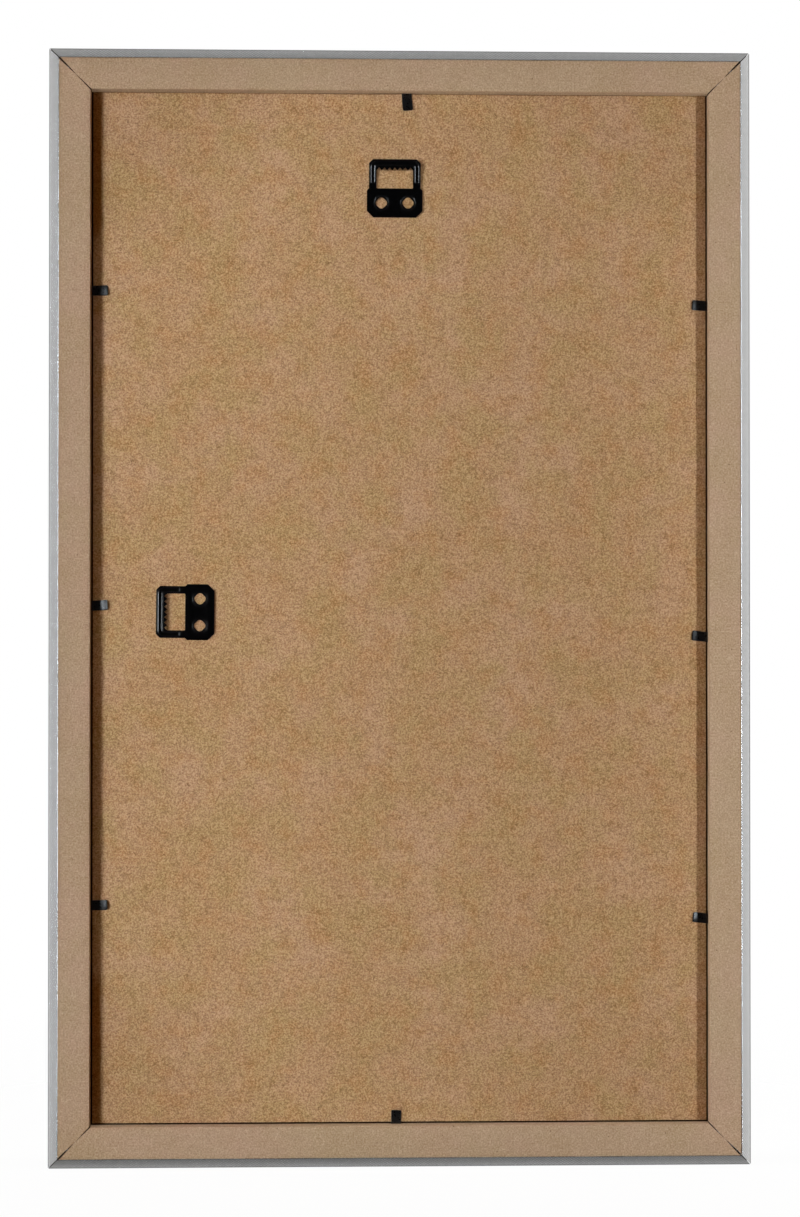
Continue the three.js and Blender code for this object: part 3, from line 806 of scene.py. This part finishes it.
def hanger_bead():
    """The bead pressed up along both arms and the bar: a band drawn flat and raised with soft flanks."""
    outside = LOOP_WIDTH / 2 - ARM_WIDTH / 2 + BEAD_WIDTH / 2
    inside = outside - BEAD_WIDTH
    foot = BEAD_NECK - BEND_LINE
    crown = LOOP_HEIGHT - BEND_LINE - ARM_WIDTH / 2 + BEAD_WIDTH / 2
    under = crown - BEAD_WIDTH
    outer_corners = [(outside, crown, 0), (-outside, crown, 0)]
    inner_corners = [(-inside, under, 0), (inside, under, 0)]
    left_foot = [(-outside, foot, 0), (-inside, foot, 0)]
    right_foot = [(inside, foot, 0), (outside, foot, 0)]
    draw_outline(outer_corners + left_foot + inner_corners + right_foot)
    round_corners(outer_corners, BEAD_BEND + BEAD_WIDTH, 8)
    round_corners(inner_corners, BEAD_BEND, 8)
    round_corners(left_foot + right_foot, BEAD_END_RADIUS, 4)
    select("faces", lambda point: True)
    press(BEAD_PROFILE)


def pierced_dish(x, y):
    """A shallow dish coined round a pierced hole with four rounded corners."""
    floor = sum(rise for inset, rise in DISH_PROFILE) * MM
    rim = PRONG_DISH_RADIUS - sum(inset for inset, rise in DISH_PROFILE) * MM
    bpy.ops.mesh.select_all(action="DESELECT")
    bpy.ops.mesh.primitive_circle_add(
        vertices=32, radius=PRONG_DISH_RADIUS, fill_type="NGON", location=(x, y, 0))
    press(DISH_PROFILE)
    bpy.ops.mesh.delete(type="ONLY_FACE")
    bpy.ops.mesh.select_all(action="DESELECT")
    bpy.ops.mesh.primitive_plane_add(size=PRONG_HOLE, location=(x, y, floor), rotation=(0, 0, math.pi / 4))
    bpy.ops.mesh.bevel(affect="VERTICES", offset=PRONG_HOLE_RADIUS, segments=7)
    select("faces", lambda point: near(point, [(x, y, floor)]))
    bpy.ops.mesh.delete(type="ONLY_FACE")
    select("edges", lambda point: abs(point.z - floor) < EXACT
           and math.hypot(point.x - x, point.y - y) < rim)
    bpy.ops.mesh.fill()


def prong(x, y, turn):
    """One of the four points torn out of a hole and driven into the board, narrower towards its tip."""
    foot = -SHEET - PRONG_LENGTH
    aside = Matrix.Rotation(turn, 3, "Z") @ Vector((PRONG_HOLE / 2 + PRONG_THICKNESS / 2, 0, 0))
    tip = Vector((x, y, foot)) + aside
    height = PRONG_LENGTH + PRONG_ROOT
    bpy.ops.mesh.select_all(action="DESELECT")
    bpy.ops.mesh.primitive_cube_add(
        size=1, location=tip + Vector((0, 0, height / 2)), rotation=(0, 0, turn),
        scale=(PRONG_THICKNESS, PRONG_WIDTH, height))
    select("verts", lambda point: point.z < foot + CLOSE and (point - tip).length < PRONG_WIDTH)
    bpy.ops.transform.resize(value=(PRONG_TAPER, PRONG_TAPER, 1), center_override=tip)


def hanger_blank():
    """The flat stamping: its edge and window, with the bead and the two dishes let into it, then thickened.
    The bead is hollow underneath. The dishes are coined, so the sheet under them stays flat."""
    piece = start_empty("hanger")
    hanger_edge()
    hanger_window()
    select("faces", lambda point: True)
    bpy.ops.mesh.delete(type="ONLY_FACE")
    hanger_bead()
    row = -BEND_LINE - PLATE_HEIGHT / 2
    for x in (-PRONG_SPACING / 2, PRONG_SPACING / 2):
        pierced_dish(x, row)
    select("edges", lambda point: abs(point.z) < EXACT)
    bpy.ops.mesh.fill()
    bpy.ops.mesh.select_all(action="SELECT")
    bpy.ops.mesh.extrude_region_move(TRANSFORM_OT_translate={"value": (0, 0, -SHEET)})
    select("verts", lambda point: point.z < -SHEET)
    bpy.ops.transform.resize(value=(1, 1, 0), center_override=(0, 0, -SHEET))
    for x in (-PRONG_SPACING / 2, PRONG_SPACING / 2):
        for quarter in range(4):
            prong(x, row, math.radians(45 + 90 * quarter))
    bpy.ops.mesh.select_all(action="SELECT")
    bpy.ops.mesh.normals_make_consistent(inside=False)
    return piece


def stamped_hanger():
    """The blank bent up at its two necks, with the soft edges of a lacquered stamping."""
    piece = hanger_blank()
    rows = [Vector((0, row * MM, 0)) for row in HANGER_BEND_ROWS]
    for row in rows:
        cut_across(row, (0, 1, 0))
    curl(rows, -LOOP_TILT, "X", lambda point: point.y)
    bpy.ops.object.mode_set(mode="OBJECT")
    modify(piece, "BEVEL", width=STAMPED_EDGE, segments=2, limit_method="ANGLE", angle_limit=math.radians(50))
    return piece


def fitted_hanger(pattern, name, material):
    """One hanger put at its bend on the board, in place of the imported plate and loop."""
    piece = duplicate(pattern, name + "_hanger")
    place = hanger_place(name)
    put(piece, place)
    dress(piece, material)
    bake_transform(piece)
    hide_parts(name + "_hanger_plate", name + "_hanger_loop")


def cut_board(material):
    """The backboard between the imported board's corners, its sawn edges worn round."""
    piece = start_block("back_sheet", *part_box("backboard"))
    bpy.ops.object.mode_set(mode="OBJECT")
    modify(piece, "BEVEL", width=BOARD_EDGE, segments=3)
    dress(piece, material)
    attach(piece, "frame")
    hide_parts("backboard")


# Finishes
fibreboard = raw_fibreboard()
backboard = brown_backboard()
foil = silver_foil()
lacquer = black_lacquer("black_lacquered_steel", 0.08, 0.14)
satin = black_lacquer("black_satin_lacquered_steel", 0.26, 0.33)
glass = float_glass()
card = white_card()
steel = spring_steel()

for side, (origin, inward, half) in SIDES.items():
    core = rail_core(side + "_moulding", half)
    put(core, bench(origin, inward))
    cut_slots(core, side)
    bpy.ops.object.select_all(action="DESELECT")
    core.select_set(True)
    bpy.context.view_layer.objects.active = core
    dress(core, fibreboard)
    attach(core, "frame")
    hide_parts(side + "_rail")
    wrap = foil_wrap(side + "_wrap", half)
    put(wrap, bench(origin, inward))
    dress(wrap, foil)
    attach(wrap, "frame")
    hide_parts(side + "_foil")

cut_board(backboard)

pattern = straight_tab()
for name in TABS:
    driven_tab(pattern, name, satin)
bpy.data.objects.remove(pattern)

pattern = stamped_hanger()
for name in ("top", "side"):
    fitted_hanger(pattern, name, lacquer)
bpy.data.objects.remove(pattern)

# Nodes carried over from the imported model
carried = {"glass_pane": glass, "picture_sheet": card}
carried.update({name: steel for name in frame["nodes"] if name.endswith("vnail")})
for name, finish in carried.items():
    node = frame["nodes"][name]
    node.data.materials.clear()
    node.data.materials.append(finish)


# The room
def white_room():
    """A white backdrop with a weak warm light of its own. Glossy surfaces mirror pale walls, a bright band of
    windows at both sides, a pale wall in front and a dark room behind the camera."""
    world = bpy.data.worlds.new("white_room")
    bpy.context.scene.world = world
    world.use_nodes = True
    tree = world.node_tree
    tree.nodes.clear()
    ray = add_node(tree, "ShaderNodeLightPath")
    look = add_node(tree, "ShaderNodeTexCoord")["Generated"]
    way = add_node(tree, "ShaderNodeSeparateXYZ", {0: look})
    aside = add_node(tree, "ShaderNodeMath", {0: way["X"]}, operation="ABSOLUTE")[0]
    # Pale walls, dimmer towards the front and dark behind the camera
    walls = add_node(tree, "ShaderNodeMath", {
        0: aside, 1: WALL_ASIDE, 2: WALL_LEVEL}, operation="MULTIPLY_ADD")[0]
    walls = add_node(tree, "ShaderNodeMath", {
        0: way["X"], 1: WALL_LEFT, 2: walls}, operation="MULTIPLY_ADD")[0]
    walls = add_node(tree, "ShaderNodeMath", {0: way["Z"], 1: WALL_UP, 2: walls}, operation="MULTIPLY_ADD")[0]
    dusk = add_node(tree, "ShaderNodeMapRange", {0: way["Y"], 1: 0.6, 2: 0.85, 3: 1, 4: 0.05})[0]
    dim = add_node(tree, "ShaderNodeMapRange", {0: way["Y"], 1: -0.45, 2: 0.05, 3: 0.25, 4: 1})[0]
    room = add_node(tree, "ShaderNodeMath", {0: walls, 1: dusk}, operation="MULTIPLY")[0]
    room = add_node(tree, "ShaderNodeMath", {0: room, 1: dim}, operation="MULTIPLY")[0]
    # Windows, brightest straight to the sides
    window = add_node(tree, "ShaderNodeMapRange", {0: aside, 1: 0.2, 2: 0.9, 3: 0.45, 4: 1})[0]
    sill = add_node(tree, "ShaderNodeMapRange", {0: way["Y"], 1: -0.3, 2: -0.2})[0]
    head = add_node(tree, "ShaderNodeMapRange", {0: way["Y"], 1: 0.24, 2: 0.17})[0]
    band = add_node(tree, "ShaderNodeMath", {0: sill, 1: head}, operation="MULTIPLY")[0]
    window = add_node(tree, "ShaderNodeMath", {0: window, 1: band}, operation="MULTIPLY")[0]
    room = add_node(tree, "ShaderNodeMath", {0: room, 1: window}, operation="MAXIMUM")[0]
    # The pale wall in front
    front = add_node(tree, "ShaderNodeMapRange", {0: way["Y"], 1: -0.5, 2: -0.95, 3: 0, 4: FRONT_LEVEL})[0]
    room = add_node(tree, "ShaderNodeMath", {0: room, 1: front}, operation="MAXIMUM")[0]
    # The backdrop where the camera looks, also through glass, and the room in glossy surfaces
    mirror = add_node(tree, "ShaderNodeMath", {0: ray["Is Glossy Ray"], 1: room}, operation="MULTIPLY")[0]
    seen = add_node(tree, "ShaderNodeMath", {
        0: ray["Is Camera Ray"], 1: ray["Is Transmission Ray"]}, operation="MAXIMUM")[0]
    seen = add_node(tree, "ShaderNodeMath", {0: seen, 1: mirror}, operation="MAXIMUM")[0]
    matt = add_node(tree, "ShaderNodeMath", {0: 1, 1: ray["Is Glossy Ray"]}, operation="SUBTRACT")[0]
    level = add_node(tree, "ShaderNodeMath", {0: matt, 1: AMBIENT}, operation="MULTIPLY")[0]
    ambient = add_node(tree, "ShaderNodeBackground", {"Color": linear(AMBIENT_COLOUR), "Strength": level})[0]
    backdrop = add_node(tree, "ShaderNodeBackground", {"Color": (1, 1, 1, 1), "Strength": 1})[0]
    light = add_node(tree, "ShaderNodeMixShader", {0: seen, 1: ambient, 2: backdrop})[0]
    add_node(tree, "ShaderNodeOutputWorld", {"Surface": light})


def white_floor():
    """A matt white floor under the frame that keeps its soft shadow, fades out into the backdrop and is clear
    from below."""
    material, tree = start_material("white_paper_floor")
    place = add_node(tree, "ShaderNodeTexCoord")["Object"]
    reach = add_node(tree, "ShaderNodeVectorMath", {
        0: place, 1: Vector((middle.x, 0, cad_low.z))}, operation="DISTANCE")["Value"]
    near_edge, far_edge = FLOOR_FADE
    fade = add_node(tree, "ShaderNodeMapRange", {
        0: reach, 1: near_edge, 2: far_edge}, interpolation_type="SMOOTHSTEP")[0]
    grain = add_node(tree, "ShaderNodeTexNoise", {"Vector": place, "Scale": per_metre(2)})["Fac"]
    colour = add_node(tree, "ShaderNodeMix", {
        0: grain, MIX_FROM: linear("#F7F7F6"), MIX_TO: linear("#FFFFFF")}, data_type="RGBA")[MIXED]
    matt = add_node(tree, "ShaderNodeBsdfDiffuse", {"Color": colour})[0]
    glow = add_node(tree, "ShaderNodeEmission", {"Color": (1, 1, 1, 1), "Strength": 1})[0]
    ray = add_node(tree, "ShaderNodeLightPath")["Is Camera Ray"]
    lift = add_node(tree, "ShaderNodeMath", {0: ray, 1: FLOOR_GLOW}, operation="MULTIPLY")[0]
    paper = add_node(tree, "ShaderNodeMixShader", {0: lift, 1: matt, 2: glow})[0]
    clear = add_node(tree, "ShaderNodeBsdfTransparent")[0]
    under = add_node(tree, "ShaderNodeNewGeometry")["Backfacing"]
    gone = add_node(tree, "ShaderNodeMath", {0: fade, 1: under}, operation="MAXIMUM")[0]
    edge = add_node(tree, "ShaderNodeMixShader", {0: gone, 1: paper, 2: clear})[0]
    add_node(tree, "ShaderNodeOutputMaterial", {"Surface": edge})
    floor = start_piece(
        "floor", bpy.ops.mesh.primitive_circle_add, vertices=64, radius=FLOOR_RADIUS, fill_type="NGON",
        location=(middle.x, 0, cad_low.z - FLOOR_DROP))
    bpy.ops.object.mode_set(mode="OBJECT")
    bpy.ops.object.transform_apply()
    floor.data.materials.append(material)
    floor.visible_shadow = False
    floor.visible_diffuse = False
    floor.visible_glossy = False
    floor.visible_transmission = False


def lamp(name, place, aim, size, watts, spread=180, lights=True, mirrored=True):
    """A soft rectangular lamp of cool daylight that faces a point, both measured from the frame's middle. Its
    beam is held to a spread in degrees. It lights matt surfaces or is mirrored by glossy ones, or both."""
    data = bpy.data.lights.new(name, "AREA")
    data.shape = "RECTANGLE"
    data.size, data.size_y = size
    data.energy = watts
    data.spread = math.radians(spread)
    data.color = linear(DAYLIGHT)[:3]
    made = bpy.data.objects.new(name, data)
    bpy.context.scene.collection.objects.link(made)
    made.visible_diffuse = lights
    made.visible_glossy = mirrored
    made.location = middle + Vector(place)
    made.rotation_euler = (Vector(aim) - Vector(place)).to_track_quat("-Z", "Y").to_euler()


def photo_camera():
    """The photograph's view of the back."""
    data = bpy.data.cameras.new("camera")
    data.lens = CAMERA_LENS
    data.sensor_width = CAMERA_SENSOR
    data.clip_start = 0.01
    made = bpy.data.objects.new("camera", data)
    bpy.context.scene.collection.objects.link(made)
    made.location = CAMERA_PLACE
    made.rotation_euler = (CAMERA_AIM - CAMERA_PLACE).to_track_quat("-Z", "Y").to_euler()
    bpy.context.scene.camera = made


white_room()
white_floor()
lamp("left_strip", (0.73, 0.86, 0), (0.092, 0, 0), (0.3, 0.8), 0.93, spread=26.4, mirrored=False)
lamp("right_strip", (-0.756, 0.9, 0), (-1.372, 0, 0), (0.26, 0.8), 37, spread=157.2, mirrored=False)
lamp("left_glint", (0.708, 0.906, 0), (0, 0, 0), (0.08, 0.8), 6.5, lights=False)
lamp("right_glint", (-0.77, 0.855, 0), (0, 0, 0), (0.08, 0.8), 6.5, lights=False)
lamp("low_left", (4, 0.1, 0), (0, 0, 0), (0.6, 0.1), 12, spread=60, mirrored=False)
lamp("low_top", (0, 0.1, 4), (0, 0, 0), (0.6, 0.1), 8, spread=60, mirrored=False)
lamp("low_bottom", (0, 0.1, -4), (0, 0, 0), (0.6, 0.1), 5, spread=60, mirrored=False)
lamp("front_fill", (0, -1.3, 0), (0, 0, 0), (2.4, 2.4), 25, mirrored=False)
photo_camera()
bpy.context.scene.view_settings.view_transform = "Standard"
